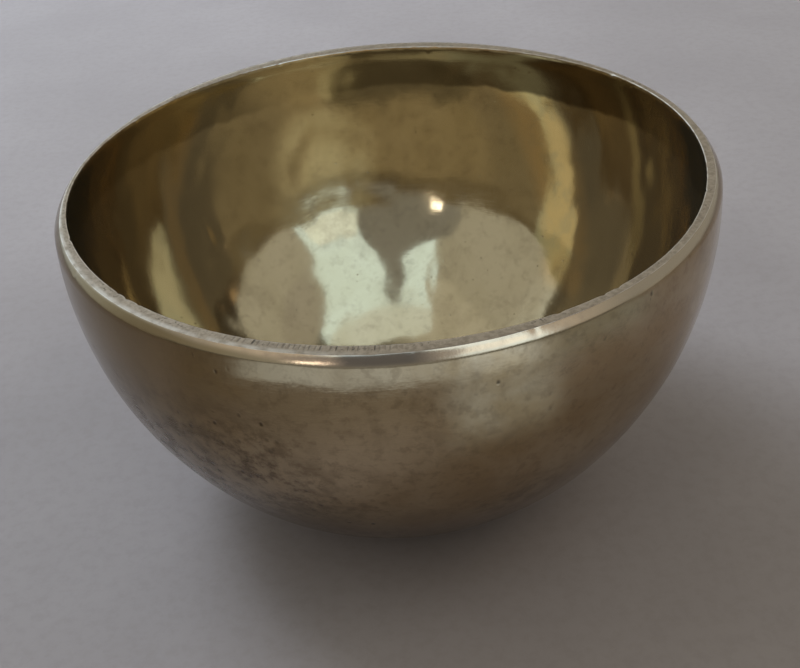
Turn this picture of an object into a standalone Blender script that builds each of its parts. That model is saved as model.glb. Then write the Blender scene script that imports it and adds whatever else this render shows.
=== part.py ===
"""A hammered bronze singing bowl: one forged shell, in metres, +Z up.

The origin is on the bowl's axis, in the plane of the flat face that it rests on.
"""

import math

import bmesh
import bpy

# Overall size
BELLY_RADIUS = 0.0825
HEIGHT = 0.0915
BELLY_HEIGHT = 0.0823

# Base: a flat disc that a soft bend joins to the side
BASE_CORNER_RADIUS = 0.0330
BASE_BEND = 0.0050

# Rim: a flat ground ring with a rounded outer edge and a fine chamfer inside
MOUTH_RADIUS = 0.0782
MOUTH_CHAMFER = 0.0003
RIM_CURL = 0.0005
LIP_WIDTH = 0.0013
LIP_DROP = 0.0020

# Wall thickness, which thins from the rim to the side and thickens again at the floor
SIDE_WALL = 0.0031
FLOOR_WALL = 0.0038
FLOOR_BEND = 0.0090

# Fineness
TURN_STEPS = 72
SIDE_POINTS = 15
INNER_POINTS = 14
LIP_POINTS = 4
BEND_POINTS = 4
SHARP_ANGLE = math.radians(35.0)

# Bronze
BRONZE_COLOUR = (0.36, 0.27, 0.145, 1.0)
BRONZE_ROUGHNESS = 0.24
BRONZE_METALLIC = 1.0


def clear_scene():
    for old in list(bpy.data.objects):
        bpy.data.objects.remove(old, do_unlink=True)


def side_radius(height):
    """Radius of the outer side: an ellipse up to the belly, then a slight curl inwards to the rim."""
    if height <= BELLY_HEIGHT:
        depth = (BELLY_HEIGHT - height) / BELLY_HEIGHT
        corner_share = (BASE_CORNER_RADIUS / BELLY_RADIUS) ** 2
        return BELLY_RADIUS * math.sqrt(1.0 - (1.0 - corner_share) * depth ** 2)
    rise = (height - BELLY_HEIGHT) / (HEIGHT - BELLY_HEIGHT)
    return BELLY_RADIUS - RIM_CURL * rise ** 2


def side_slope(height):
    """Unit vector (radius, height) along the outer side, going up."""
    step = 0.00005
    across = side_radius(height + step) - side_radius(height - step)
    length = math.hypot(across, 2.0 * step)
    return across / length, 2.0 * step / length


def bend(start, corner, end, count):
    """Points on a quadratic curve from start to end, with the start and the end left out."""
    points = []
    for index in range(1, count):
        share = index / count
        rest = 1.0 - share
        radius = rest * rest * start[0] + 2.0 * rest * share * corner[0] + share * share * end[0]
        height = rest * rest * start[1] + 2.0 * rest * share * corner[1] + share * share * end[1]
        points.append((radius, height))
    return points


def height_on_side(index, count, low, high):
    """Heights that are closer together near the base, where the side turns most."""
    share = index / count
    return low + (high - low) * share ** 1.6


def base_bend_end():
    """Where the side leaves the bend at the base."""
    height = BASE_BEND * side_slope(0.001)[1]
    return side_radius(height), height


def outer_profile():
    """The outside, from the lip's lower end down the side to the middle of the base."""
    lip_low = HEIGHT - LIP_DROP
    side_low = base_bend_end()
    points = []
    for index in range(SIDE_POINTS, -1, -1):
        height = height_on_side(index, SIDE_POINTS, side_low[1], lip_low)
        points.append((side_radius(height), height))
    flat_edge = (BASE_CORNER_RADIUS - BASE_BEND, 0.0)
    points += bend(side_low, (BASE_CORNER_RADIUS, 0.0), flat_edge, BEND_POINTS)
    points.append(flat_edge)
    points.append((0.0, 0.0))
    return points


def lip_profile():
    """The rounded outer edge, from the flat ring down to just above the side."""
    lip_low = HEIGHT - LIP_DROP
    outer = side_radius(lip_low)
    points = []
    for index in range(LIP_POINTS):
        angle = 0.5 * math.pi * (1.0 - index / LIP_POINTS)
        radius = outer - LIP_WIDTH * (1.0 - math.cos(angle))
        points.append((radius, lip_low + LIP_DROP * math.sin(angle)))
    return points


def wall_thickness(height):
    """Thickness of the wall at the side's height: full at the rim, thinner lower down."""
    rim_wall = side_radius(HEIGHT) - MOUTH_RADIUS
    share = max(0.0, (height - 0.5 * HEIGHT) / (0.5 * HEIGHT))
    return SIDE_WALL + (rim_wall - SIDE_WALL) * share ** 2


def inner_point(height):
    """The point on the inner wall that faces the outer side at this height."""
    across, up = side_slope(height)
    thickness = wall_thickness(height)
    return side_radius(height) - thickness * up, height + thickness * across


def inner_profile():
    """The inside, from the middle of the floor up to the chamfer at the mouth."""
    wall_low = inner_point(0.0075)
    floor_edge = (wall_low[0] - 2.0 * FLOOR_BEND, FLOOR_WALL)
    points = [(0.0, FLOOR_WALL), floor_edge]
    points += bend(floor_edge, (wall_low[0] - FLOOR_BEND, FLOOR_WALL), wall_low, BEND_POINTS + 1)
    for index in range(INNER_POINTS):
        points.append(inner_point(height_on_side(index, INNER_POINTS, 0.0075, HEIGHT - 0.002)))
    points.append((MOUTH_RADIUS, HEIGHT - MOUTH_CHAMFER))
    points.append((MOUTH_RADIUS + MOUTH_CHAMFER, HEIGHT))
    return points


def turned_mesh(name, profile):
    """A closed mesh: the profile, which starts and ends on the axis, turned round +Z."""
    shape = bmesh.new()
    corners = [shape.verts.new((radius, 0.0, height)) for radius, height in profile]
    for first, second in zip(corners, corners[1:]):
        shape.edges.new((first, second))
    bmesh.ops.spin(
        shape,
        geom=shape.verts[:] + shape.edges[:],
        cent=(0.0, 0.0, 0.0),
        axis=(0.0, 0.0, 1.0),
        angle=2.0 * math.pi,
        steps=TURN_STEPS,
        use_merge=True,
    )
    bmesh.ops.remove_doubles(shape, verts=shape.verts[:], dist=0.00001)
    bmesh.ops.recalc_face_normals(shape, faces=shape.faces[:])
    mesh = bpy.data.meshes.new(name)
    shape.to_mesh(mesh)
    shape.free()
    mesh.shade_smooth()
    mesh.set_sharp_from_angle(angle=SHARP_ANGLE)
    return mesh


def bronze():
    material = bpy.data.materials.new("bronze")
    material.use_nodes = True
    shader = material.node_tree.nodes["Principled BSDF"]
    shader.inputs["Base Color"].default_value = BRONZE_COLOUR
    shader.inputs["Metallic"].default_value = BRONZE_METALLIC
    shader.inputs["Roughness"].default_value = BRONZE_ROUGHNESS
    return material


def build():
    clear_scene()
    profile = inner_profile() + lip_profile() + outer_profile()
    mesh = turned_mesh("bowl", profile)
    mesh.materials.append(bronze())
    bowl = bpy.data.objects.new("bowl", mesh)
    bpy.context.scene.collection.objects.link(bowl)


build()
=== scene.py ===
import math

import bpy
import numpy as np
from mathutils import Matrix, Vector


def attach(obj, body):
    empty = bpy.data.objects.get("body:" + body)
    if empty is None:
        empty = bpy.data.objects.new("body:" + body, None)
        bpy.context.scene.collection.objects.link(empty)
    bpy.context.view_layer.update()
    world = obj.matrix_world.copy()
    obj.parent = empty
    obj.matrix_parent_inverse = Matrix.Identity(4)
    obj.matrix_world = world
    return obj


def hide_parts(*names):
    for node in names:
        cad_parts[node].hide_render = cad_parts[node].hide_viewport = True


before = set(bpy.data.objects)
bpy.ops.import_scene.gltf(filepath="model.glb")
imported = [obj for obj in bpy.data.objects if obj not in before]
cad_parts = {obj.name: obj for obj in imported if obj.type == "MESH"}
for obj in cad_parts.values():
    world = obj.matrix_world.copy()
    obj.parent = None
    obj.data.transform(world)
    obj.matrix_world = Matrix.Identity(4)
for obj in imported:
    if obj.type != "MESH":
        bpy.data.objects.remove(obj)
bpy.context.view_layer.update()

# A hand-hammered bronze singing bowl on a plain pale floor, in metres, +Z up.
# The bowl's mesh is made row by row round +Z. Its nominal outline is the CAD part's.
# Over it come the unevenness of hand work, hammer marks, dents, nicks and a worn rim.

MM = 0.001

# ------------------------------ nominal outline, as in the CAD part
BELLY_RADIUS = 0.0825
HEIGHT = 0.0915
BELLY_HEIGHT = 0.0823
BASE_CORNER_RADIUS = 0.0330
BASE_BEND = 0.0050
MOUTH_RADIUS = 0.0782
RIM_CURL = 0.0005
LIP_DROP = 0.0020
SIDE_WALL = 0.0031
FLOOR_WALL = 0.0038
FLOOR_BEND = 0.0090
FLOOR_BEND_TOP = 0.0075
LIP_BEVEL = 1.7
RIM_CURL_POWER = 2
SLOPE_STEP = 0.05 * MM

# The lower inner wall stands in, so that it is less steep over the floor's bend
LOW_WALL_STAND_IN = 0.9 * MM
LOW_WALL_TOP = 37.0 * MM
LOW_WALL_FADE = 20.0 * MM

# ------------------------------ fineness
# Points round the wall, how many times as many the rim has, and rows of the two sides
WALL_STEPS = 432
RIM_SHARE = 4
RIM_STEPS = WALL_STEPS * RIM_SHARE
INNER_ROWS = 55
OUTER_ROWS = 51

# The rim's own rows start this far under the top. The mouth widens downwards, in all by the step.
RIM_LOW_INNER = 1.3 * MM
RIM_LOW_OUTER = 4.6 * MM
MOUTH_FLARE = 0.035
MOUTH_STEP = 0.045 * MM


def side_radius(height):
    height = np.asarray(height, float)
    depth = np.clip((BELLY_HEIGHT - height) / BELLY_HEIGHT, 0.0, None)
    corner_share = (BASE_CORNER_RADIUS / BELLY_RADIUS) ** 2
    rise = np.clip((height - BELLY_HEIGHT) / (HEIGHT - BELLY_HEIGHT), 0.0, None)
    side = BELLY_RADIUS * np.sqrt(1.0 - (1.0 - corner_share) * depth ** 2)
    return side - RIM_CURL * rise ** RIM_CURL_POWER


def side_slope(height):
    """Unit direction up the side: its share outwards and its share up."""
    across = side_radius(height + SLOPE_STEP) - side_radius(height - SLOPE_STEP)
    length = np.hypot(across, 2.0 * SLOPE_STEP)
    return across / length, 2.0 * SLOPE_STEP / length


def wall_thickness(height):
    rim_wall = side_radius(HEIGHT) - MOUTH_RADIUS
    share = np.clip((height - 0.5 * HEIGHT) / (0.5 * HEIGHT), 0.0, None)
    return SIDE_WALL + (rim_wall - SIDE_WALL) * share ** 2


def inner_point(height):
    across, up = side_slope(height)
    thickness = wall_thickness(height)
    return np.stack([side_radius(height) - thickness * up, height + thickness * across], -1)


def thicker_low(line):
    """The inner line with its lower wall standing in, fading out upwards and towards the axis."""
    line = np.array(line)
    share = np.clip((line[:, 1] - (LOW_WALL_TOP - LOW_WALL_FADE)) / LOW_WALL_FADE, 0.0, 1.0)
    away = np.clip((line[:, 0] - LOW_WALL_FADE) / LOW_WALL_FADE, 0.0, 1.0)
    line[:, 0] -= LOW_WALL_STAND_IN * (1.0 - smooth(share)) * away
    return line


def smooth(share):
    """0 to 1 with a level start and end."""
    return share * share * (3.0 - 2.0 * share)


def bend(start, corner, end, count):
    """Points along a curve that turns a corner, without its two ends."""
    share = (np.arange(1, count) / count)[:, None]
    start, corner, end = map(np.asarray, (start, corner, end))
    return (1 - share) ** 2 * start + 2 * (1 - share) * share * corner + share ** 2 * end


def distance_along(line):
    return np.concatenate([[0.0], np.cumsum(np.hypot(*np.diff(line, axis=0).T))])


def resampled(line, count):
    """count + 1 points, evenly spaced along a line."""
    length = distance_along(line)
    at = np.linspace(0.0, 1.0, count + 1) * length[-1]
    return np.stack([np.interp(at, length, line[:, 0]), np.interp(at, length, line[:, 1])], -1)


def inner_outline():
    """From the edge of the flat floor's middle to just under the mouth."""
    low = inner_point(np.array(FLOOR_BEND_TOP))
    edge = np.array([low[0] - 2.0 * FLOOR_BEND, FLOOR_WALL])
    curve = bend(edge, (low[0] - FLOOR_BEND, FLOOR_WALL), low, 40)
    wall = inner_point(np.linspace(FLOOR_BEND_TOP, HEIGHT - 2.0 * MM, 400))
    line = np.vstack([[edge], curve, wall])
    keep = line[:, 1] < HEIGHT - RIM_LOW_INNER
    end = [MOUTH_RADIUS + MOUTH_STEP, HEIGHT - RIM_LOW_INNER]
    return thicker_low(np.vstack([line[keep], [end]]))


def outer_outline():
    """From just under the lip down to the edge of the flat base."""
    low = BASE_BEND * side_slope(0.001)[1]
    side_low = np.array([side_radius(low), low])
    heights = np.linspace(HEIGHT - RIM_LOW_OUTER, low, 400)
    side = np.stack([side_radius(heights), heights], -1)
    flat_edge = (BASE_CORNER_RADIUS - BASE_BEND, 0.0)
    curve = bend(side_low, (BASE_CORNER_RADIUS, 0.0), flat_edge, 30)
    return np.vstack([side, curve, [flat_edge]])


# ------------------------------ hand-made unevenness, by angle round +Z
def waves(angle, terms):
    """Sum of cosine and sine terms (order, cosine mm, sine mm), in metres."""
    total = np.zeros_like(angle)
    for order, cosine, sine in terms:
        total += cosine * np.cos(order * angle) + sine * np.sin(order * angle)
    return total * MM


# Of the side, of the mouth, and of the rim's height: how the bowl is out of round and out of level
OUTER_WAVES = ((2, -0.47, 0.03), (3, 0.16, -0.11), (4, 0.09, 0.0))
MOUTH_WAVES = ((2, 0.34, -0.22), (3, -0.22, 0.22), (5, -0.12, 0.14))
RISE_WAVES = ((2, 0.0, 0.09), (3, 0.14, 0.0))


def fine_waves(angle, seed, orders, size):
    """Periodic roughness round the rim: many waves of random phase, size in mm."""
    draw = np.random.default_rng(seed)
    total = np.zeros_like(angle)
    for order in orders:
        total += np.cos(order * angle + draw.uniform(0.0, 2.0 * math.pi)) * draw.uniform(0.4, 1.0)
    return total * size * MM / math.sqrt(len(orders))


def angle_gap(angle, centre):
    return np.abs((angle - centre + math.pi) % (2.0 * math.pi) - math.pi)


def bump_at(angle, degrees, half_width):
    """1 at an angle, falling off over half_width metres measured round the rim."""
    gap = angle_gap(angle, math.radians(degrees)) * MOUTH_RADIUS
    return np.exp(-(gap / half_width) ** 2)


# ------------------------------ hammer marks
# Spacing of the blows and their scatter as a share of it, a mark's width and depth, and how crisp it is
INNER_HAMMER = dict(seed=11, spacing=12.5 * MM, jitter=0.22, width=10.0 * MM, depth=0.19 * MM, crisp=7.5)
OUTER_HAMMER = dict(seed=23, spacing=15.0 * MM, jitter=0.25, width=12.0 * MM, depth=0.07 * MM, crisp=8.0)
# As shares of the spacing: where the first ring of blows lies, and how far apart the rings are
FIRST_RING, RING_GAP = 0.3, 0.86
# How much the marks differ in width and in depth
MARK_WIDTHS, MARK_WEIGHTS = (0.75, 1.25), (0.5, 1.3)
# A blow is left out beyond this many widths, and its cap goes no lower than this
MARK_REACH, MARK_LOWEST = 1.9, -1.5
# What metal without a mark adds to the blend, and what is taken off to bring the average near 0
UNMARKED, MARK_LEVEL = 0.2, 0.6


def hammer_seeds(outline, seed, spacing, jitter):
    """Blows in rough rings along an outline: (angle, distance along it, width share, weight)."""
    draw = np.random.default_rng(seed)
    length = distance_along(outline)
    found = []
    at = FIRST_RING * spacing
    while at < length[-1] + 0.5 * spacing:
        radius = float(np.interp(at, length, outline[:, 0]))
        count = max(5, int(round(2.0 * math.pi * radius / spacing)))
        turn = draw.uniform(0.0, 2.0 * math.pi)
        for index in range(count):
            slip = draw.normal(0.0, jitter) * spacing / max(radius, 8 * MM)
            angle = turn + 2.0 * math.pi * index / count + slip
            height = at + draw.normal(0.0, jitter) * spacing
            found.append((angle, height, draw.uniform(*MARK_WIDTHS), draw.uniform(*MARK_WEIGHTS)))
        at += spacing * RING_GAP
    return np.array(found)


def hammered(angle, outline, seed, spacing, jitter, width, depth, crisp):
    """How deep the marks go at each grid point, in metres. Neighbouring marks blend over a ridge."""
    seeds = hammer_seeds(outline, seed, spacing, jitter)
    along, radius = distance_along(outline), outline[:, 0]
    total = np.zeros(along.shape + angle.shape)
    for row in range(len(along)):
        near = seeds[np.abs(seeds[:, 1] - along[row]) < MARK_REACH * width]
        if not len(near):
            continue
        gap = angle_gap(angle[None, :], near[:, 0:1]) * radius[row]
        far = np.hypot(gap, near[:, 1:2] - along[row]) / (width * near[:, 2:3])
        cap = np.clip(near[:, 3:4] * (1.0 - far ** 2), MARK_LOWEST, None)
        total[row] = np.log(np.exp(cap * crisp).sum(0) + UNMARKED) / crisp - MARK_LEVEL
    return total * depth


# ------------------------------ the grid of the bowl
def grid(line, steps):
    angle = np.arange(steps) * 2.0 * math.pi / steps
    return angle, np.repeat(line[:, :1], steps, 1), np.repeat(line[:, 1:], steps, 1)


def outline_normals(line):
    """Unit normals (radius, height) on the left of a line."""
    along = np.gradient(line, axis=0)
    along /= np.hypot(along[:, 0], along[:, 1])[:, None]
    return np.stack([-along[:, 1], along[:, 0]], -1)


# Soft dents and swellings: angle in degrees, height, half-widths round and up, and depth, in mm.
# A depth above 0 goes into the metal.
OUTER_DENTS = (
    (-114.0, 73.0, 6.0, 4.0, 0.16),
    (-136.0, 52.0, 8.0, 6.0, 0.10),
    (-84.0, 47.0, 11.0, 8.0, 0.10),
    (-62.0, 58.0, 9.0, 9.0, 0.10),
    (-40.0, 40.0, 12.0, 9.0, 0.12),
    (-100.0, 58.0, 9.0, 6.0, -0.06),
    (20.0, 50.0, 12.0, 10.0, 0.14),
    (70.0, 62.0, 14.0, 9.0, 0.12),
    (118.0, 44.0, 10.0, 12.0, 0.15),
    (165.0, 66.0, 12.0, 8.0, 0.12),
    (-160.0, 48.0, 10.0, 12.0, 0.12),
    (-10.0, 70.0, 12.0, 8.0, 0.10),
)
INNER_DENTS = (
    (134.5, 45.0, 5.5, 5.5, 0.42),
    (140.0, 48.5, 1.8, 4.5, -0.16),
    (53.0, 39.0, 8.0, 4.0, 0.16),
    (52.0, 72.0, 6.0, 6.0, 0.10),
    (92.0, 35.0, 34.0, 11.0, 0.36),
    (36.0, 40.0, 6.0, 5.0, 0.10),
    (105.0, 60.0, 10.0, 8.0, 0.12),
    (165.0, 55.0, 9.0, 9.0, 0.14),
    (-60.0, 60.0, 10.0, 9.0, 0.12),
    (-120.0, 50.0, 11.0, 10.0, 0.12),
)
# Places inside where the hammer marks were smoothed away: as above, the last value is the share taken off
SMOOTH_PATCHES = ((46.0, 57.0, 8.0, 10.0, 0.85),)


def dents(angle, height, radius, marks):
    total = np.zeros_like(height)
    for degrees, z, wide, tall, depth in marks:
        gap = angle_gap(angle, math.radians(degrees)) * radius / (wide * MM)
        rise = (height - z * MM) / (tall * MM)
        total += depth * MM * np.exp(-(gap ** 2 + rise ** 2))
    return total


# Slow bulges of the wall: waves round the bowl and their size in mm
INNER_SWELLS = dict(seed=5, orders=(2, 3, 4, 5, 6, 7, 8), size=0.22)
OUTER_SWELLS = dict(seed=8, orders=(3, 4, 5, 6, 7, 9), size=0.08)
# They fade over these shares of the height, above the floor and below the rim
SWELL_FADE_LOW, SWELL_FADE_HIGH = 0.3, 0.18

# Marks, dents and bulges die away over these distances: under the rim inside and outside, over the base
CALM_INNER, CALM_OUTER, CALM_BASE = 6.0 * MM, 7.0 * MM, 6.0 * MM
BASE_EDGE = 0.2 * MM


def swells(angle, height, seed, orders, size):
    """Slow bulges that die away towards the rim and the floor."""
    draw = np.random.default_rng(seed)
    total = np.zeros_like(height)
    for order in orders:
        turns = draw.uniform(0.5, 2.5)
        total += draw.uniform(0.5, 1.0) * np.cos(order * angle + draw.uniform(0, 6.28)) * np.cos(
            turns * math.pi * height / HEIGHT + draw.uniform(0, 6.28)
        )
    fade = np.clip(height / (SWELL_FADE_LOW * HEIGHT), 0, 1)
    fade = fade * np.clip((HEIGHT - height) / (SWELL_FADE_HIGH * HEIGHT), 0, 1)
    return total * fade * size * MM / math.sqrt(len(orders))


def shaped_wall(line, steps, is_inner):
    """Radius, height and angle of each point of the inner or outer wall."""
    angle, radius, height = grid(line, steps)
    turn = np.broadcast_to(angle, radius.shape)
    # Both lines are walked so that the air is on their left: inside going up, outside going down.
    normal = outline_normals(line)
    if is_inner:
        push = hammered(angle, line, **INNER_HAMMER)
        push -= (push - push.mean()) * dents(turn, height, radius, SMOOTH_PATCHES) / MM
        push += swells(turn, height, **INNER_SWELLS)
        push += dents(turn, height, radius, INNER_DENTS)
        calm = np.clip((HEIGHT - RIM_LOW_INNER - height) / CALM_INNER, 0.0, 1.0)
        out = np.interp(height / HEIGHT, [0.0, 0.1, 1.0], [0.0, 0.0, 1.0]) ** 1.5
        sway = waves(turn, MOUTH_WAVES) * out
    else:
        push = hammered(angle, line, **OUTER_HAMMER)
        push += swells(turn, height, **OUTER_SWELLS)
        push += dents(turn, height, radius, OUTER_DENTS)
        calm = np.clip((HEIGHT - RIM_LOW_OUTER - height) / CALM_OUTER, 0.0, 1.0)
        calm *= np.clip((height - BASE_EDGE) / CALM_BASE, 0.0, 1.0)
        sway = waves(turn, OUTER_WAVES) * height / HEIGHT
    push = push * calm ** 1.5 * (3 - 2 * calm) ** 0.5
    radius = radius - push * normal[:, :1] + sway
    height = height - push * normal[:, 1:] + waves(turn, RISE_WAVES) * (height / HEIGHT) ** 2
    return angle, radius, height


# Small knocks on the mouth edge and on the outer edge: angle in degrees, half-width mm, depth mm
MOUTH_NICKS = (
    (-161.0, 0.9, 0.35), (-139.0, 0.6, 0.28), (-136.5, 0.8, 0.40), (-133.5, 0.5, 0.25),
    (-66.0, 0.8, 0.35), (-58.0, 0.6, 0.30), (-55.0, 0.7, 0.32), (33.0, 1.0, 0.35),
    (27.0, 0.7, 0.22), (-113.0, 0.5, 0.18), (-97.0, 0.4, 0.14), (78.0, 0.7, 0.20),
    (112.0, 0.9, 0.22), (150.0, 0.8, 0.25), (171.0, 0.6, 0.20), (-21.0, 0.7, 0.22), (4.0, 0.6, 0.18),
)
OUTER_NICKS = (
    (-150.0, 0.9, 0.16), (-122.0, 0.7, 0.12), (-88.0, 0.6, 0.10), (-71.0, 0.8, 0.14),
    (-35.0, 0.9, 0.16), (12.0, 0.8, 0.15), (60.0, 1.0, 0.18), (95.0, 0.7, 0.14), (140.0, 0.9, 0.16),
)


def nicks(angle, marks):
    total = np.zeros_like(angle)
    for degrees, wide, depth in marks:
        total += depth * MM * bump_at(angle, degrees, wide * MM)
    return total


# The rim's widths, and where its rows lie: shares of the chamfer's or lip's quarter turn, or of the flat
CHAMFER = 0.27 * MM
LIP_WIDTH = 1.45 * MM
FLAT_CROWN = 0.05 * MM
MOUTH_ROWS = ((1.3, -1.0), (0.9, -0.6), (0.55, -0.25))
CHAMFER_ROWS = (0.0, 0.3, 0.6, 1.0)
FLAT_ROWS = (0.1, 0.24, 0.4, 0.56, 0.72, 0.86, 0.95, 1.0)
LIP_ROWS = (0.10, 0.25, 0.42, 0.58, 0.75, 0.90, 1.0)
GROOVE_ROWS = ((2.5, 0.07), (3.0, 0.10), (3.6, 0.05), (4.6, 0.0))
# How much the lip's width and drop vary, in mm
LIP_SWAY = 0.12
# How much a knock moves the mouth's edge out and down, and how much chips and waves move the rest
KNOCK_SHARE, KNOCK_DOWN, CHIP_SHARE, RING_SHARE = 0.35, 0.25, 0.3, 0.25


def rim_rows():
    """Rows of the rim band, from just under the mouth, over the flat, to just under the lip.
    Each row has a mark that says how far across it is: 0 at the mouth, 1 at the lip, 2 under it."""
    angle = np.arange(RIM_STEPS) * 2.0 * math.pi / RIM_STEPS
    mouth = MOUTH_RADIUS + waves(angle, MOUTH_WAVES)
    outer = side_radius(HEIGHT) + waves(angle, OUTER_WAVES)
    top = HEIGHT + waves(angle, RISE_WAVES)
    # A fine burr on the mouth's edge, slower waves of the flat, and the knocks and chips of use
    burr = fine_waves(angle, 3, range(60, 260, 7), 0.035)
    ring = fine_waves(angle, 4, range(9, 60, 4), 0.05)
    knock = nicks(angle, MOUTH_NICKS)
    chip = nicks(angle, OUTER_NICKS)
    front = np.cos(angle + math.radians(90.0))
    lip_width = LIP_WIDTH + LIP_SWAY * MM * np.cos(2 * angle) + 0.4 * chip
    lip_drop = LIP_DROP + fine_waves(angle, 6, range(3, 14), LIP_SWAY)
    chamfer = CHAMFER + 0.8 * burr + 0.9 * knock + 0.05 * MM * front
    rows, across = [], []

    def add(radius, height, at):
        rows.append((np.broadcast_to(radius, angle.shape), np.broadcast_to(height, angle.shape)))
        across.append(at)

    # Inside wall up to the chamfer
    for drop, at in MOUTH_ROWS:
        spread = MOUTH_FLARE * drop * MM + KNOCK_SHARE * knock * (1.3 - drop)
        add(mouth + spread, top - drop * MM - KNOCK_SHARE * knock, at)
    # Chamfer, a worn quarter round
    for share in CHAMFER_ROWS:
        turn = 0.5 * math.pi * share
        add(
            mouth + KNOCK_SHARE * knock * (1 - share) + chamfer * (1 - math.cos(turn)),
            top - chamfer * (1 - math.sin(turn)) - KNOCK_DOWN * knock * (1 - share),
            0.1 * share,
        )
    # Flat, slightly crowned
    flat_in = mouth + chamfer
    flat_out = outer - lip_width
    for share in FLAT_ROWS:
        crown = FLAT_CROWN * (1 - (2 * share - 1) ** 2) + RING_SHARE * ring * share
        height = top + crown - CHIP_SHARE * chip * share ** 6
        add(flat_in + (flat_out - flat_in) * share, height, 0.1 + 0.8 * share)
    # Lip, a rounded outer edge
    for share in LIP_ROWS:
        turn = 0.5 * math.pi * share
        radius = outer - lip_width * (1 - math.sin(turn) ** LIP_BEVEL)
        worn = (RING_SHARE * ring - CHIP_SHARE * chip) * (1 - share)
        add(radius, top + worn - lip_drop * (1 - math.cos(turn) ** LIP_BEVEL), 1.0 + share)
    # A soft groove under the lip, then the side
    for drop, dip in GROOVE_ROWS:
        height = HEIGHT - drop * MM
        radius = side_radius(height) + waves(angle, OUTER_WAVES) * height / HEIGHT
        groove = dip * MM * (0.35 + 1.1 * bump_at(angle, -112.0, 12.0 * MM))
        rise = waves(angle, RISE_WAVES) * (height / HEIGHT) ** 2
        add(radius - groove, height + rise, 2.0 + (drop - 2.0) / 2.0)
    return angle, np.array([r for r, _ in rows]), np.array([h for _, h in rows]), np.array(across)


class Shell:
    """Collects points and faces, ring by ring."""

    def __init__(self):
        self.points, self.faces, self.zones, self.marks = [], [], [], []

    def ring(self, angle, radius, height, mark):
        start = sum(len(part) for part in self.points)
        x, y = radius * np.cos(angle), radius * np.sin(angle)
        self.points.append(np.stack([x, y, np.broadcast_to(height, angle.shape)], -1))
        self.marks.append(np.full(len(angle), mark))
        return np.arange(start, start + len(angle))

    def join(self, first, second, zone):
        """Faces between two rings. One ring may have a whole number of times the other's points."""
        many, few = len(first), len(second)
        if many == few:
            for i in range(many):
                j = (i + 1) % many
                self.faces.append((first[i], first[j], second[j], second[i]))
                self.zones.append(zone)
            return
        turned = many < few
        fine, coarse = (second, first) if turned else (first, second)
        times = len(fine) // len(coarse)
        for i in range(len(coarse)):
            j = (i + 1) % len(coarse)
            run = [fine[(times * i + k) % len(fine)] for k in range(times + 1)]
            face = [coarse[j], coarse[i]] + run if not turned else [coarse[i], coarse[j]] + run[::-1]
            self.faces.append(tuple(face))
            self.zones.append(zone)

    def cap(self, ring, point, zone, mark, turned):
        start = sum(len(part) for part in self.points)
        self.points.append(np.array([point]))
        self.marks.append(np.array([mark]))
        for i in range(len(ring)):
            j = (i + 1) % len(ring)
            pair = (ring[j], ring[i]) if turned else (ring[i], ring[j])
            self.faces.append(pair + (start,))
            self.zones.append(zone)


INSIDE, RIM, OUTSIDE = 0, 1, 2

# The "across" mark stops at these values away from the rim
MARK_INSIDE, MARK_OUTSIDE = -8.0, 12.0
# Rings of the two flat middles in mm: the smallest, the next, their gap and the room left at the edge
INNER_MIDDLE = (1.2, 2.6, 1.45, 0.6)
OUTER_MIDDLE = (1.4, 3.2, 2.3, 0.8)
# Below each radius in mm, a ring's points are divided by the number beside it
THINNING = ((14.5, 2), (8.0, 4), (4.0, 8), (2.0, 16))
# The floor's unevenness, the rows of wall that share it, and the width over which they lose it
SAG = 0.06 * MM
SAG_ROWS = 6
SAG_BLEND = 7 * MM


def floor_sag(x, y):
    """Small unevenness of the beaten floor, in metres."""
    ripples = np.sin(x / (7 * MM) + 0.6) * np.cos(y / (8 * MM)) + 0.7 * np.sin((x + y) / (11 * MM))
    return SAG * ripples


def middle_rings(shell, edge, sizes, height, mark, wavy):
    """Rings of a flat middle up to its edge, from the smallest out, with fewer points near the middle."""
    smallest, second, gap, room = sizes
    rings = []
    for radius in np.concatenate([[smallest], np.arange(second, edge / MM - room, gap)]) * MM:
        steps = WALL_STEPS
        for limit, share in THINNING:
            if radius < limit * MM:
                steps = WALL_STEPS // share
        angle = np.arange(steps) * 2.0 * math.pi / steps
        flat = np.full(steps, radius)
        z = height + (wavy(flat * np.cos(angle), flat * np.sin(angle)) if wavy else 0.0)
        rings.append(shell.ring(angle, flat, np.broadcast_to(z, angle.shape), mark))
    return rings


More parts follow.
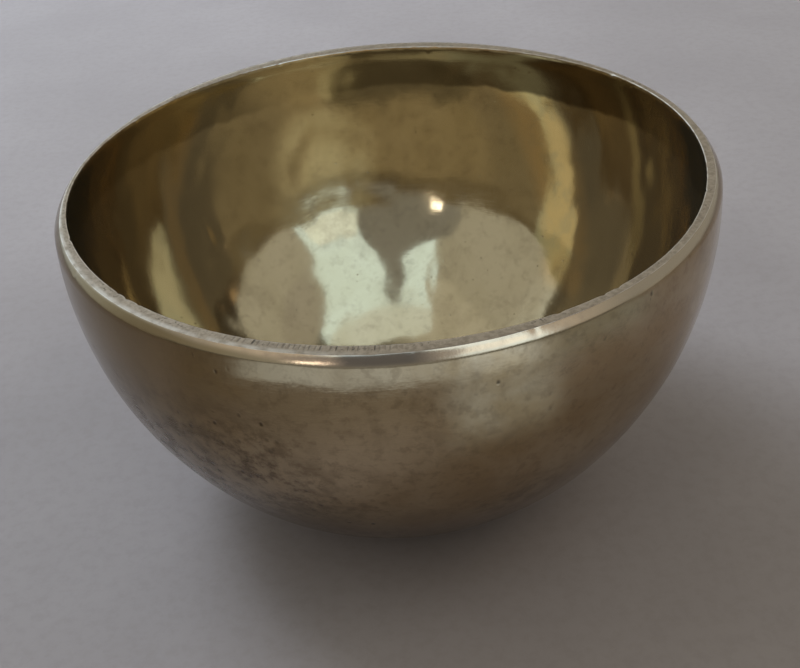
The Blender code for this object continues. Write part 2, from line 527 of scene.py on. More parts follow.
def build_bowl():
    shell = Shell()
    # Inside: floor middle, then the bend and the wall
    inner_line = resampled(inner_outline(), INNER_ROWS)
    angle, radius, height = shaped_wall(inner_line, WALL_STEPS, True)
    edge = float(inner_line[0, 0])
    low = radius[:SAG_ROWS]
    sag = floor_sag(low * np.cos(angle), low * np.sin(angle))
    height[:SAG_ROWS] += sag * (1 - np.clip((low - edge) / SAG_BLEND, 0, 1))
    height[0] = FLOOR_WALL + sag[0]
    rings = middle_rings(shell, edge, INNER_MIDDLE, FLOOR_WALL, MARK_INSIDE, floor_sag)
    centre = float(FLOOR_WALL + floor_sag(0.0, 0.0))
    shell.cap(rings[0], (0.0, 0.0, centre), INSIDE, MARK_INSIDE, False)
    for inner, outer in zip(rings, rings[1:]):
        shell.join(outer, inner, INSIDE)
    last = rings[-1]
    marks_in = -1.0 - (distance_along(inner_line)[-1] - distance_along(inner_line)) / MM
    for row in range(len(inner_line) - 1):
        ring = shell.ring(angle, radius[row], height[row], max(marks_in[row], MARK_INSIDE))
        shell.join(ring, last, INSIDE)
        last = ring
    # Rim
    turn, rim_radius, rim_height, across = rim_rows()
    for row in range(len(across)):
        ring = shell.ring(turn, rim_radius[row], rim_height[row], across[row])
        zone = INSIDE if across[row] < -0.2 else (OUTSIDE if across[row] > 2.05 else RIM)
        shell.join(ring, last, zone)
        last = ring
    # Outside
    outer_line = resampled(outer_outline(), OUTER_ROWS)
    angle, radius, height = shaped_wall(outer_line, WALL_STEPS, False)
    height = np.maximum(height, 0.0)
    height[-1] = 0.0
    # The marks go on from the last row of the rim
    marks_out = 3.3 + distance_along(outer_line) / (2.0 * MM)
    for row in range(1, len(outer_line)):
        ring = shell.ring(angle, radius[row], height[row], min(marks_out[row], MARK_OUTSIDE))
        shell.join(ring, last, OUTSIDE)
        last = ring
    edge = float(outer_line[-1, 0])
    rings = middle_rings(shell, edge, OUTER_MIDDLE, 0.0, MARK_OUTSIDE, None)
    for ring in rings[::-1]:
        shell.join(ring, last, OUTSIDE)
        last = ring
    shell.cap(last, (0.0, 0.0, 0.0), OUTSIDE, MARK_OUTSIDE, True)
    return shell


def bowl_object(materials):
    shell = build_bowl()
    mesh = bpy.data.meshes.new("bowl_shell")
    faces = [tuple(int(i) for i in face) for face in shell.faces]
    mesh.from_pydata(np.vstack(shell.points).tolist(), [], faces)
    for material in materials:
        mesh.materials.append(material)
    mesh.polygons.foreach_set("material_index", np.array(shell.zones, np.int32))
    mesh.shade_smooth()
    across = mesh.attributes.new("across", "FLOAT", "POINT")
    across.data.foreach_set("value", np.concatenate(shell.marks).astype(np.float32))
    mesh.validate()
    mesh.update()
    bowl = bpy.data.objects.new("bowl_shell", mesh)
    bpy.context.scene.collection.objects.link(bowl)
    return bowl


# ------------------------------ materials
class Nodes:
    """Short calls for building a node tree."""

    def __init__(self, tree):
        self.tree = tree

    def new(self, kind, **values):
        node = self.tree.nodes.new("ShaderNode" + kind)
        for key, value in values.items():
            setattr(node, key, value)
        return node

    def put(self, socket, value):
        if isinstance(value, bpy.types.NodeSocket):
            self.tree.links.new(value, socket)
        elif isinstance(value, tuple) and len(value) == 3 and socket.type == "RGBA":
            socket.default_value = value + (1.0,)
        else:
            socket.default_value = value

    def fill(self, node, **inputs):
        """Sets inputs given by name, with a _ standing for a space."""
        for name, value in inputs.items():
            self.put(node.inputs[name.replace("_", " ")], value)

    def math(self, operation, a, b=0.0):
        node = self.new("Math", operation=operation)
        for socket, value in zip(node.inputs, (a, b, 0.0)):
            self.put(socket, value)
        return node.outputs[0]

    def plus(self, a, b):
        return self.math("ADD", a, b)

    def minus(self, a, b):
        return self.math("SUBTRACT", a, b)

    def times(self, a, b):
        return self.math("MULTIPLY", a, b)

    def larger(self, a, b):
        return self.math("MAXIMUM", a, b)

    def about_zero(self, noise, spread):
        """A noise moved to lie on both sides of 0."""
        return self.times(self.minus(noise, 0.5), spread)

    def ramp(self, value, low, high, out_low=0.0, out_high=1.0):
        node = self.new("MapRange", interpolation_type="SMOOTHSTEP")
        self.fill(node, Value=value, From_Min=low, From_Max=high, To_Min=out_low, To_Max=out_high)
        return node.outputs["Result"]

    def fall(self, value, low, high):
        """1 below low and 0 above high."""
        return self.ramp(value, low, high, 1.0, 0.0)

    def mix(self, share, first, second):
        node = self.new("Mix", data_type="RGBA")
        self.put(node.inputs[0], share)
        self.put(node.inputs[6], first)
        self.put(node.inputs[7], second)
        return node.outputs[2]

    def position(self):
        return self.new("TexCoord").outputs["Object"]

    def attribute(self, name):
        return self.new("Attribute", attribute_name=name).outputs["Fac"]

    def split(self, vector):
        node = self.new("SeparateXYZ")
        self.put(node.inputs[0], vector)
        return node.outputs

    def vector_math(self, operation, *values, output="Vector"):
        node = self.new("VectorMath", operation=operation)
        for socket, value in zip(node.inputs, values):
            self.put(socket, value)
        return node.outputs[output]

    def stretch(self, vector, scale):
        return self.vector_math("MULTIPLY", vector, scale)

    def noise(self, vector, scale, detail=3.0, rough=0.5, distort=0.0, output="Fac"):
        node = self.new("TexNoise")
        self.fill(node, Vector=vector, Scale=scale, Detail=detail, Roughness=rough, Distortion=distort)
        return node.outputs[output]

    def wobbled(self, place, scale, size):
        """A place shifted by up to half of size each way, for ragged outlines."""
        push = self.stretch(self.noise(place, scale, 4.0, output="Color"), (size,) * 3)
        return self.vector_math("SUBTRACT", self.vector_math("ADD", place, push), (0.5 * size,) * 3)

    def cells(self, vector, scale):
        node = self.new("TexVoronoi", feature="F1")
        self.fill(node, Vector=vector, Scale=scale)
        return node.outputs["Distance"]

    def round_the_axis(self):
        """(way round at the mouth, height, radius) in metres as a vector, then the turn and the height."""
        x, y, z = self.split(self.position())
        turn = self.math("ARCTAN2", y, x)
        radius = self.math("POWER", self.plus(self.times(x, x), self.times(y, y)), 0.5)
        node = self.new("CombineXYZ")
        self.fill(node, X=self.times(turn, MOUTH_RADIUS), Y=z, Z=radius)
        return node.outputs[0], turn, z

    def spot(self, place, centre, size, soft):
        """1 inside an ellipsoid round a point of the bowl, in metres, fading out over its edge."""
        shift = self.stretch(self.vector_math("SUBTRACT", place, centre), tuple(1.0 / s for s in size))
        return self.fall(self.vector_math("LENGTH", shift, output="Value"), 1.0 - soft, 1.0 + soft)

    def bump(self, height, strength, distance, normal=None):
        node = self.new("Bump")
        self.fill(node, Height=height, Strength=strength, Distance=distance)
        if normal is not None:
            self.fill(node, Normal=normal)
        return node.outputs[0]

    def principled(self, **inputs):
        """The surface shader, joined to the output."""
        shader = self.new("BsdfPrincipled")
        self.fill(shader, **inputs)
        self.fill(self.new("OutputMaterial"), Surface=shader.outputs[0])


def new_material(name):
    material = bpy.data.materials.new(name)
    material.use_nodes = True
    material.node_tree.nodes.clear()
    return material


# Colours as linear light, of the inside
BRONZE = (0.62, 0.505, 0.32)
BRONZE_WARM = (0.565, 0.455, 0.275)
BRONZE_DARKER_SIDES = (0.44, 0.36, 0.235)
# painted shade: a dark band under the mouth, and darker painted shade on its right
MOUTH_BAND_PAINTED_SHADE = (0.33, 0.26, 0.155)
MOUTH_SHADE = (0.14, 0.10, 0.055)
# painted reflection: the brighter golden colour of a reflected band
GOLDEN_PAINTED_REFLECTION = (0.77, 0.555, 0.285)
# rubbed edge with a painted highlight
EDGE_WEAR_AND_HIGHLIGHT = (0.80, 0.72, 0.55)
# of the outside
BRONZE_OUT = (0.545, 0.435, 0.29)
BRONZE_OUT_WARM = (0.42, 0.30, 0.165)
BRONZE_LEFT = (0.22, 0.157, 0.082)
# real brown stains, and painted shade towards the foot
STAIN_AND_FOOT_SHADE = (0.13, 0.085, 0.042)
PIT = (0.06, 0.042, 0.028)
# of both
TARNISH = (0.22, 0.155, 0.09)
# of the rim
# rubbed edges of the flat with a painted highlight, wider at the left
RIM_EDGE_WEAR_AND_HIGHLIGHT = (0.76, 0.67, 0.58)
RIM_METAL = (0.53, 0.425, 0.325)
RIM_DARK = (0.38, 0.30, 0.225)
RIM_SCORED = (0.08, 0.06, 0.042)
# polished lip brightened into a painted highlight at the front, and a painted dark reflection
LIP_METAL_AND_HIGHLIGHT = (0.80, 0.59, 0.40)
LIP_DARK = (0.62, 0.45, 0.31)
LIP_SIDE = (0.43, 0.34, 0.245)
LIP_PAINTED_DARK_REFLECTION = (0.22, 0.185, 0.15)
# and of the floor
FLOOR_PALE = (0.372, 0.308, 0.278)
FLOOR_SHADED = (0.328, 0.270, 0.243)
FLOOR_GRAIN = (0.265, 0.215, 0.190)

# The painted shade band under the mouth starts over this height, up and down by half of the sway
SHADE_BAND_LOW, SHADE_BAND_HIGH, SHADE_BAND_SWAY = 0.0778, 0.0794, 0.006

# The yellower painted reflection streak leans: its angle is a fixed part and a part that grows with height
STREAK_START = math.radians(22.0)
STREAK_LEAN = math.radians(430.0)
STREAK_CORE = math.radians(4.0)
STREAK_EDGE = math.radians(10.0)

FILE_MARK_GAP = 1.05 * MM
FILE_MARKS_ROUND = 2.0 * math.pi * MOUTH_RADIUS / FILE_MARK_GAP


def on_bowl(degrees, radius, height):
    """A point by its angle in degrees, and its radius and height in mm."""
    turn = math.radians(degrees)
    return (radius * MM * math.cos(turn), radius * MM * math.sin(turn), height * MM)


# Brown stains outside, one large and some fainter ones: place, half-widths, softness of the edge
LARGE_STAIN = (on_bowl(-126, 74, 52), (0.030, 0.030, 0.021), 0.55)
FAINT_STAINS = (
    (on_bowl(-108, 62, 24), (0.020, 0.020, 0.010), 0.7),
    (on_bowl(-70, 70, 38), (0.012, 0.012, 0.007), 0.6),
    (on_bowl(40, 72, 45), (0.022, 0.022, 0.016), 0.6),
    (on_bowl(150, 70, 40), (0.024, 0.024, 0.012), 0.6),
    (on_bowl(-20, 66, 30), (0.018, 0.018, 0.012), 0.6),
)


def between(n, turn, rise, fall):
    """1 between two stretches of angle, each given as (first, last) degrees."""
    up = n.ramp(turn, math.radians(rise[0]), math.radians(rise[1]))
    return n.times(up, n.fall(turn, math.radians(fall[0]), math.radians(fall[1])))


def outside_tone(n, place, cloud):
    """Bronze of the outer side: browner and darker towards the left, at -X."""
    drift = n.plus(n.split(place)["X"], n.about_zero(cloud, 0.03))
    tone = n.mix(n.ramp(cloud, 0.38, 0.68), BRONZE_OUT, BRONZE_OUT_WARM)
    return n.mix(n.ramp(drift, -0.060, -0.008), BRONZE_LEFT, tone)


def inside_colour(n, place, polar, turn, height, cloud, specks):
    fine = n.ramp(n.noise(place, 300.0, 3.0, 0.6), 0.50, 0.72)
    mottle = n.ramp(n.noise(place, 85.0, 5.0, 0.65, 0.3), 0.48, 0.72)
    colour = n.mix(n.ramp(cloud, 0.35, 0.7), BRONZE, BRONZE_WARM)
    colour = n.mix(n.times(fine, 0.20), colour, TARNISH)
    colour = n.mix(n.times(mottle, 0.24), colour, TARNISH)
    # Darker colour at the two sides, above the floor and away from the front
    x, y, _ = n.split(place)
    sideways = n.plus(n.math("ABSOLUTE", x), n.about_zero(cloud, 0.012))
    darker_sides = n.times(n.ramp(sideways, 0.044, 0.064), n.ramp(height, 0.012, 0.035))
    colour = n.mix(n.times(darker_sides, n.ramp(y, -0.050, -0.025)), colour, BRONZE_DARKER_SIDES)
    # A faint haze low at the back
    patches = n.ramp(n.noise(place, 190.0, 5.0, 0.7), 0.42, 0.60)
    haze = n.times(n.spot(place, on_bowl(103, 68, 38), (0.012, 0.012, 0.009), 0.6), patches)
    colour = n.mix(n.times(haze, 0.16), colour, TARNISH)
    # A leaning streak of yellower, brighter colour on the right: a painted reflection of a bright band
    streak = n.minus(turn, n.plus(STREAK_START, n.times(height, STREAK_LEAN)))
    reflected_streak = n.fall(n.math("ABSOLUTE", streak), STREAK_CORE, STREAK_EDGE)
    reflected_streak = n.times(reflected_streak, n.ramp(height, 0.024, 0.030))
    reflected_streak = n.times(reflected_streak, n.ramp(n.noise(place, 150.0, 5.0, 0.65, 0.4), 0.36, 0.56, 0.5, 0.98))
    colour = n.mix(reflected_streak, colour, GOLDEN_PAINTED_REFLECTION)
    # A painted shade band under the mouth with a wavy edge: lighter in one place, darkest on the right,
    # where more painted shade is laid on
    zone = n.ramp(n.plus(height, n.about_zero(n.noise(place, 70.0, 3.0), SHADE_BAND_SWAY)), SHADE_BAND_LOW, SHADE_BAND_HIGH)
    lighter = n.spot(place, on_bowl(109, 78.5, 84), (0.016, 0.016, 0.012), 0.5)
    zone = n.times(zone, n.minus(1.0, n.times(lighter, 0.75)))
    colour = n.mix(n.times(zone, 0.92), colour, MOUTH_BAND_PAINTED_SHADE)
    shade = n.times(zone, n.spot(place, on_bowl(48, 79, 86), (0.034, 0.034, 0.014), 0.35))
    colour = n.mix(n.times(shade, 0.85), colour, MOUTH_SHADE)
    colour = n.mix(n.times(specks, 0.55), colour, TARNISH)
    # Rubbed bright at the edge of the mouth, with a painted highlight laid on the wear
    edge = n.ramp(n.attribute("across"), -1.0, -0.15)
    edge = n.times(edge, n.ramp(n.noise(polar, 260.0, 2.0), 0.3, 0.55))
    return n.mix(n.times(edge, 0.85), colour, EDGE_WEAR_AND_HIGHLIGHT)


def inside_material():
    material = new_material("bronze_inside")
    n = Nodes(material.node_tree)
    place = n.position()
    polar, turn, height = n.round_the_axis()
    cloud = n.noise(place, 38.0, 4.0, 0.6, 0.4)
    specks = n.fall(n.cells(place, 420.0), 0.06, 0.16)
    specks = n.times(specks, n.ramp(n.noise(place, 130.0, 2.0), 0.56, 0.66))
    scratch = n.noise(n.stretch(polar, (60.0, 2200.0, 2200.0)), 1.0, 2.0, 0.7, 0.6)
    rough = n.ramp(cloud, 0.3, 0.7, 0.075, 0.13)
    rough = n.plus(rough, n.times(n.ramp(scratch, 0.55, 0.75), 0.04))
    normal = n.bump(n.noise(place, 95.0, 3.0, 0.55), 0.35, 0.12 * MM)
    normal = n.bump(scratch, 0.10, 0.04 * MM, normal)
    normal = n.bump(specks, 0.4, -0.06 * MM, normal)
    colour = inside_colour(n, place, polar, turn, height, cloud, specks)
    n.principled(Base_Color=colour, Metallic=0.95, Roughness=rough, Normal=normal)
    return material


def outside_stains(n, place):
    """How stained the outer side is, from 0 to 1: brown tarnish that hand polishing left in hollows."""
    ragged = n.wobbled(place, 120.0, 12.0 * MM)
    stain = n.spot(ragged, *LARGE_STAIN)
    for faint in FAINT_STAINS:
        stain = n.larger(stain, n.times(n.spot(ragged, *faint), 0.62))
    return n.times(stain, n.ramp(n.noise(place, 210.0, 5.0, 0.7), 0.38, 0.62))


def outside_material():
    material = new_material("bronze_outside")
    n = Nodes(material.node_tree)
    place = n.position()
    polar, _, height = n.round_the_axis()
    cloud = n.noise(place, 30.0, 5.0, 0.62, 0.5)
    fine = n.ramp(n.noise(place, 420.0, 3.0, 0.65), 0.48, 0.70)
    mottle = n.ramp(n.noise(place, 75.0, 6.0, 0.68, 0.6), 0.48, 0.70)
    stain = outside_stains(n, place)
    rare = n.larger(n.ramp(n.noise(place, 90.0, 2.0), 0.60, 0.70), n.times(stain, 0.9))
    pits = n.times(n.fall(n.cells(n.stretch(place, (1.0, 1.0, 0.7)), 360.0), 0.08, 0.26), rare)
    colour = outside_tone(n, place, cloud)
    colour = n.mix(n.times(fine, 0.34), colour, TARNISH)
    colour = n.mix(n.times(mottle, 0.35), colour, TARNISH)
    colour = n.mix(n.times(stain, 0.92), colour, STAIN_AND_FOOT_SHADE)
    # Painted shade: darker towards the foot
    colour = n.mix(n.times(n.fall(height, 0.022, 0.060), 0.60), colour, STAIN_AND_FOOT_SHADE)
    colour = n.mix(n.times(pits, 0.85), colour, PIT)
    scratch = n.noise(n.stretch(polar, (90.0, 2600.0, 2600.0)), 1.0, 2.0, 0.7, 0.5)
    rough = n.ramp(cloud, 0.3, 0.7, 0.11, 0.18)
    rough = n.plus(rough, n.times(stain, 0.12))
    rough = n.plus(rough, n.times(n.ramp(scratch, 0.5, 0.75), 0.06))
    normal = n.bump(n.noise(place, 110.0, 4.0, 0.6), 0.55, 0.12 * MM)
    planished = n.noise(n.stretch(polar, (260.0, 520.0, 520.0)), 1.0, 3.0, 0.6)
    normal = n.bump(planished, 0.30, 0.05 * MM, normal)
    normal = n.bump(scratch, 0.14, 0.04 * MM, normal)
    normal = n.bump(pits, 0.6, -0.1 * MM, normal)
    n.principled(Base_Color=colour, Metallic=1.0, Roughness=rough, Normal=normal)
    return material


def lip_colour(n, place, across, turn, cloud):
    """The rounded lip, with a painted highlight and a painted dark grey reflection at the front, turning
    into the side's brown under it.
    """
    side = outside_tone(n, place, n.noise(place, 30.0, 5.0, 0.62, 0.5))
    # Painted highlight: the lip's colour made much brighter at the front
    lip = n.mix(n.ramp(cloud, 0.35, 0.7), LIP_METAL_AND_HIGHLIGHT, LIP_DARK)
    # Painted dark reflection on part of the front of the lip
    dark_reflection = between(n, turn, (-100, -97), (-89, -84))
    lip = n.mix(n.times(dark_reflection, 0.8), lip, LIP_PAINTED_DARK_REFLECTION)
    x = n.split(place)["X"]
    lip = n.mix(n.ramp(n.math("ABSOLUTE", x), 0.026, 0.050), lip, LIP_SIDE)
    # The side's brown climbs higher on the lip at the left than at the right
    climb = n.plus(n.times(n.fall(x, -0.036, -0.006), 0.42), n.times(n.fall(x, -0.056, -0.038), 0.26))
    return n.mix(n.ramp(n.plus(across, climb), 1.62, 2.05), lip, side)


def rubbed_edges_and_highlights(n, place, polar, across):
    """How far the two edges of the flat are rubbed bright, with a painted highlight laid on them. The
    outer one is wider at the left, where a painted highlight band is added.
    """
    edge_in = n.times(n.ramp(across, -0.3, 0.0), n.fall(across, 0.08, 0.14))
    edge_out = n.times(n.ramp(across, 0.84, 0.94), n.fall(across, 1.0, 1.14))
    # Painted highlight over the outer half of the flat, on the left
    left_highlight = n.times(n.ramp(across, 0.52, 0.78), n.fall(across, 1.02, 1.22))
    left_highlight = n.times(left_highlight, n.fall(n.split(place)["X"], -0.030, 0.004))
    worn = n.larger(n.times(edge_in, 0.9), n.times(n.larger(edge_out, left_highlight), 0.85))
    return n.times(worn, n.ramp(n.noise(polar, 330.0, 3.0), 0.3, 0.6))


def file_marks(n, polar, turn, across, inner_half):
    """Short marks across the inner half of the flat, close together at the front."""
    wander = n.noise(n.stretch(polar, (420.0, 0.0, 0.0)), 1.0, 2.0, 0.6)
    phase = n.plus(n.times(turn, FILE_MARKS_ROUND), n.times(wander, 9.0))
    lines = n.ramp(n.math("SINE", n.plus(phase, n.times(across, 0.9))), 0.30, 0.75)
    strong = n.ramp(n.noise(n.stretch(polar, (900.0, 0.0, 0.0)), 1.0, 1.0), 0.38, 0.62)
    front = between(n, turn, (-118, -112), (-94, -88))
    elsewhere = n.ramp(n.noise(n.stretch(polar, (60.0, 0.0, 0.0)), 1.0, 1.0), 0.56, 0.68)
    where = n.larger(front, n.times(elsewhere, 0.5))
    return n.times(n.times(lines, strong), n.times(inner_half, where))


def rim_material():
    material = new_material("bronze_rim")
    n = Nodes(material.node_tree)
    place = n.position()
    across = n.attribute("across")
    polar, turn, _ = n.round_the_axis()
    cloud = n.noise(place, 160.0, 4.0, 0.65)
    flat = n.times(n.ramp(across, 0.06, 0.14), n.fall(across, 0.86, 1.02))
    # Ground flat with dark grains, more of them near the mouth
    ground = n.mix(n.ramp(n.noise(place, 900.0, 3.0, 0.7), 0.35, 0.65), RIM_METAL, RIM_DARK)
    inner_half = n.times(n.ramp(across, 0.08, 0.14), n.fall(across, 0.4, 0.66))
    grains = n.ramp(n.noise(place, 1300.0, 2.0, 0.6), 0.57, 0.66)
    grains = n.times(grains, n.ramp(n.noise(place, 120.0, 2.0), 0.42, 0.6))
    ground = n.mix(n.times(n.times(grains, inner_half), 0.8), ground, RIM_SCORED)
    marks = file_marks(n, polar, turn, across, inner_half)
    colour = n.mix(flat, lip_colour(n, place, across, turn, cloud), ground)
    # Rubbed edges with a painted highlight laid on them
    colour = n.mix(rubbed_edges_and_highlights(n, place, polar, across), colour, RIM_EDGE_WEAR_AND_HIGHLIGHT)
    colour = n.mix(n.times(marks, 0.85), colour, RIM_SCORED)
    rough = n.plus(0.17, n.times(flat, 0.22))
    rough = n.plus(rough, n.times(n.ramp(cloud, 0.4, 0.7), 0.06))
    normal = n.bump(n.noise(place, 500.0, 4.0, 0.7), 0.35, 0.06 * MM)
    normal = n.bump(marks, 0.7, -0.08 * MM, normal)
    n.principled(Base_Color=colour, Metallic=1.0, Roughness=rough, Normal=normal)
    return material


def floor_material():
    material = new_material("floor_plain")
    n = Nodes(material.node_tree)
    place = n.position()
    soft = n.noise(place, 9.0, 4.0, 0.55)
    fine = n.noise(place, 260.0, 3.0, 0.7)
    colour = n.mix(n.ramp(soft, 0.3, 0.7), FLOOR_PALE, FLOOR_SHADED)
    colour = n.mix(n.times(n.ramp(fine, 0.4, 0.7), 0.25), colour, FLOOR_GRAIN)
    n.principled(Base_Color=colour, Roughness=0.6, Specular_IOR_Level=0.2)
    return material


def glowing(name, colour, strength, faded=False):
    """Plain light. A faded one is only there as far as the mesh's "share" says, and clear elsewhere."""
    material = new_material(name)
    n = Nodes(material.node_tree)
    glow = n.new("Emission")
    n.fill(glow, Color=colour, Strength=strength)
    shader = glow.outputs[0]
    if faded:
        blend = n.new("MixShader")
        n.put(blend.inputs[0], n.attribute("share"))
        n.put(blend.inputs[1], n.new("BsdfTransparent").outputs[0])
        n.put(blend.inputs[2], shader)
        shader = blend.outputs[0]
    n.fill(n.new("OutputMaterial"), Surface=shader)
    return material


# ------------------------------ floor, light and camera
FLOOR_SIZE = 8.0
LAMP_DISTANCE = 2.0
AIM = Vector((0.0, 0.0, 0.05))
# The rays that miss a card that only the metal shows
METAL_ONLY = ("diffuse", "shadow")

# Curved cards round the bowl, seen in its metal. An azimuth goes from +Y towards +X, in degrees.
# Name, rows of (elevation, first azimuth, last azimuth), distance, colour, strength, rays that miss it
SOFT_CARDS = (
    ("softbox_front",
     ((9, 133, 208), (41, 133, 208), (48, 131, 208), (53, 122, 208), (58, 102, 209), (62, 98, 214)),
     3.0, (0.62, 0.83, 1.0), 1.58, ("diffuse",)),
    ("softbox_top", ((62, 98, 214), (74, 100, 232), (83, 115, 235)), 3.0, (0.84, 1.0, 1.10), 0.98, ()),
    ("warm_card",
     ((21, 137, 162), (30, 137, 159), (37, 141, 157)),
     2.9, (1.12, 1.36, 1.50), 1.0, METAL_ONLY),
    ("softbox_left", ((61, 278, 316), (80, 275, 322)), 3.0, (0.95, 1.1, 1.12), 0.80, ()),
    ("small_lamp", ((20, 201.5, 208.5), (25, 201.5, 208.5)), 0.53, (1.0, 0.98, 0.96), 4.6, METAL_ONLY),
    ("side_flag", ((42, 90, 130), (56, 84, 118)), 2.8, (0.42, 0.43, 0.42), 1.0, METAL_ONLY),
    ("dark_flag",
     ((-2, 164, 213), (18, 163, 215), (28, 159, 217), (38, 159, 216), (41, 160, 211), (44, 162, 202),
      (48, 166, 193), (52, 170, 184), (56, 168, 185), (60, 169, 183), (62, 173, 179)),
     1.2, (0.26, 0.275, 0.285), 1.0, ()),
)

# Glows that lie on the floor and only the metal shows, as a brighter or darker floor would.
# Name, height, first and last azimuth, distance where it starts, colour, degrees and metres of fading
FLOOR_GLOW_END = 2.5
FLOOR_GLOWS = (
    ("floor_front_near", 0.8 * MM, 150, 250, 0.094, (0.22, 0.20, 0.17), 14, 0.085),
    ("floor_front_far", 1.0 * MM, 150, 228, 0.203, (0.55, 0.62, 0.68), 9, 0.004),
    ("floor_wedge_near", 1.2 * MM, 134, 174, 0.108, (0.40, 0.44, 0.47), 13, 0.035),
    ("floor_wedge_far", 1.4 * MM, 134, 174, 0.198, (0.90, 1.08, 1.30), 20, 0.012),
    ("floor_side", 0.9 * MM, 100, 152, 0.170, (0.30, 0.33, 0.34), 14, 0.050),
)

# The room's light: its level low down and its tint, and the bluer glow at the back left
WORLD_LOW = 0.47
WORLD_TINT = (1.0, 1.04, 0.99)
WORLD_GLOW_TINT = (1.0, 1.20, 1.36)
WORLD_GLOW_FROM = (-47.0, 12.0)

CAMERA_PLACE = (0.00027, -0.25249, 0.21686)
CAMERA_PITCH = math.radians(35.216)
CAMERA_ROLL = math.radians(-4.857)
CAMERA_LENS = 50.08


def heading(azimuth, elevation):
    """Unit vector towards an azimuth and an elevation, in degrees."""
    turn, rise = math.radians(azimuth), math.radians(elevation)
    return Vector((math.sin(turn) * math.cos(rise), math.cos(turn) * math.cos(rise), math.sin(rise)))


def staged_mesh(name, points, faces, material):
    mesh = bpy.data.meshes.new(name)
    mesh.from_pydata(points, [], faces)
    mesh.materials.append(material)
    item = bpy.data.objects.new(name, mesh)
    bpy.context.scene.collection.objects.link(item)
    return item


def plain_floor():
    half = 0.5 * FLOOR_SIZE
    corners = [(-half, -half, 0), (half, -half, 0), (half, half, 0), (-half, half, 0)]
    staged_mesh("floor", corners, [(0, 1, 2, 3)], floor_material())


def patch(name, points, row, material, hidden):
    """A glowing sheet of points in rows. The camera never sees it."""
    faces = [
        (i * row + j, i * row + j + 1, (i + 1) * row + j + 1, (i + 1) * row + j)
        for i in range(len(points) // row - 1)
        for j in range(row - 1)
    ]
    item = staged_mesh(name, points, faces, material)
    item.visible_camera = False
    for kind in hidden:
        setattr(item, "visible_" + kind, False)
    return item


def soft_card(name, outline, distance, colour, strength, hidden, rows=41, columns=17):
    elevation, first, last = np.array(outline, float).T
    points = []
    for level in np.linspace(elevation[0], elevation[-1], rows):
        low, high = np.interp(level, elevation, first), np.interp(level, elevation, last)
        for share in np.linspace(0, 1, columns):
            points.append(tuple(AIM + distance * heading(low + (high - low) * share, level)))
    patch(name, points, columns, glowing(name, colour, strength), hidden)


def floor_glow(name, height, first, last, near, colour, soft_turn, soft_near, rows=7, columns=49):
    """It fades out over soft_turn degrees at both sides and over soft_near metres at its near edge."""
    points, shares = [], []
    distances = np.concatenate([np.linspace(near, near + soft_near, rows), [FLOOR_GLOW_END]])
    for distance in distances:
        for turn in np.linspace(first, last, columns):
            place = heading(turn, 0.0) * float(distance)
            points.append((place.x, place.y, height))
            sides = min(1.0, min(turn - first, last - turn) / soft_turn)
            ahead = min(1.0, (distance - near) / soft_near)
            shares.append(smooth(sides) * smooth(ahead))
    item = patch(name, points, columns, glowing(name, colour, 1.0, True), METAL_ONLY)
    item.data.attributes.new("share", "FLOAT", "POINT").data.foreach_set("value", shares)


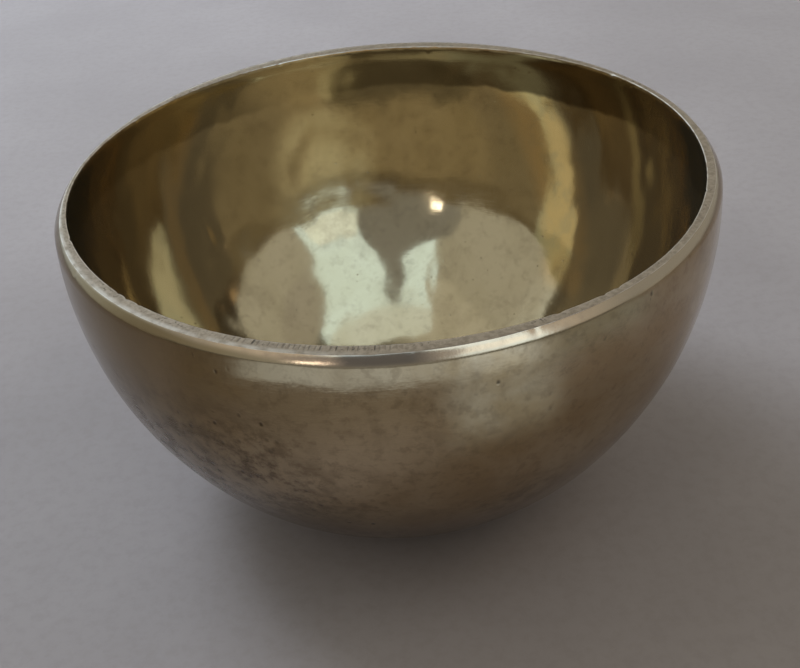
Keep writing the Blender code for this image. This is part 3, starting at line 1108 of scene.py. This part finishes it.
def studio_world():
    """Soft light all round: even low down, bluer at the back left, dim overhead at the back."""
    world = bpy.data.worlds.new("studio")
    bpy.context.scene.world = world
    world.use_nodes = True
    n = Nodes(world.node_tree)
    towards = n.new("TexCoord").outputs["Generated"]
    x, y, z = n.split(towards)
    # Overhead: brighter towards the front than towards the back
    to_back = math.radians(40.0)
    back = n.plus(n.times(x, math.sin(to_back)), n.times(y, math.cos(to_back)))
    overhead = n.ramp(back, -0.22, 0.14, 0.56, 0.17)
    height = n.ramp(z, 0.795, 0.820)
    level = n.plus(n.times(overhead, height), n.times(WORLD_LOW, n.minus(1.0, height)))
    # Much dimmer just over the horizon at the front
    ahead = n.ramp(n.times(y, -1.0), 0.1, 0.35)
    dim = n.times(n.times(n.fall(z, 0.11, 0.17), ahead), 0.68)
    level = n.times(level, n.minus(1.0, dim))
    # Brighter and bluer low on the left at the back
    near = n.vector_math("DOT_PRODUCT", towards, heading(*WORLD_GLOW_FROM), output="Value")
    glow = n.ramp(near, 0.64, 1.0)
    level = n.plus(level, n.times(glow, 0.42))
    scaled = n.new("VectorMath", operation="SCALE")
    n.fill(scaled, Vector=n.mix(glow, WORLD_TINT, WORLD_GLOW_TINT), Scale=level)
    n.fill(world.node_tree.nodes["Background"], Color=scaled.outputs[0], Strength=1.0)


def floor_lamp(name, energy, colour, direction, target):
    """A soft light that only the floor and rough surfaces show, not the bronze."""
    data = bpy.data.lights.new(name, "AREA")
    data.energy, data.color = energy, colour
    item = bpy.data.objects.new(name, data)
    bpy.context.scene.collection.objects.link(item)
    item.location = AIM + LAMP_DISTANCE * direction
    item.rotation_euler = (Vector(target) - item.location).to_track_quat("-Z", "Y").to_euler()
    item.visible_glossy = False
    item.visible_camera = False
    return data


def lights():
    studio_world()
    for card in SOFT_CARDS:
        soft_card(*card)
    for glow in FLOOR_GLOWS:
        floor_glow(*glow)
    key = floor_lamp("key", 4.5, (0.79, 1.00, 1.30), heading(-38.0, 48.0), (-0.22, 0.60, 0.0))
    key.shape = "RECTANGLE"
    key.size, key.size_y = 1.2, 0.9
    key.spread = math.radians(52.0)
    fill = floor_lamp("fill", 2.9, (1.0, 0.93, 0.83), heading(95.0, 50.0), (0.30, -0.08, 0.0))
    fill.size = 1.0


def camera():
    forward = Vector((0.0, math.cos(CAMERA_PITCH), -math.sin(CAMERA_PITCH)))
    up = Vector((0.0, math.sin(CAMERA_PITCH), math.cos(CAMERA_PITCH)))
    right = Vector((1.0, 0.0, 0.0))
    right_rolled = math.cos(CAMERA_ROLL) * right + math.sin(CAMERA_ROLL) * up
    up_rolled = -math.sin(CAMERA_ROLL) * right + math.cos(CAMERA_ROLL) * up
    data = bpy.data.cameras.new("camera")
    data.sensor_width = 36.0
    data.sensor_fit = "HORIZONTAL"
    data.lens = CAMERA_LENS
    data.clip_start = 0.01
    item = bpy.data.objects.new("camera", data)
    item.location = CAMERA_PLACE
    item.rotation_euler = Matrix((right_rolled, up_rolled, -forward)).transposed().to_euler()
    bpy.context.scene.collection.objects.link(item)
    bpy.context.scene.camera = item


bowl = bowl_object([inside_material(), rim_material(), outside_material()])
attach(bowl, "root")
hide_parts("bowl")

plain_floor()
lights()
camera()
bpy.context.scene.view_settings.view_transform = "Standard"
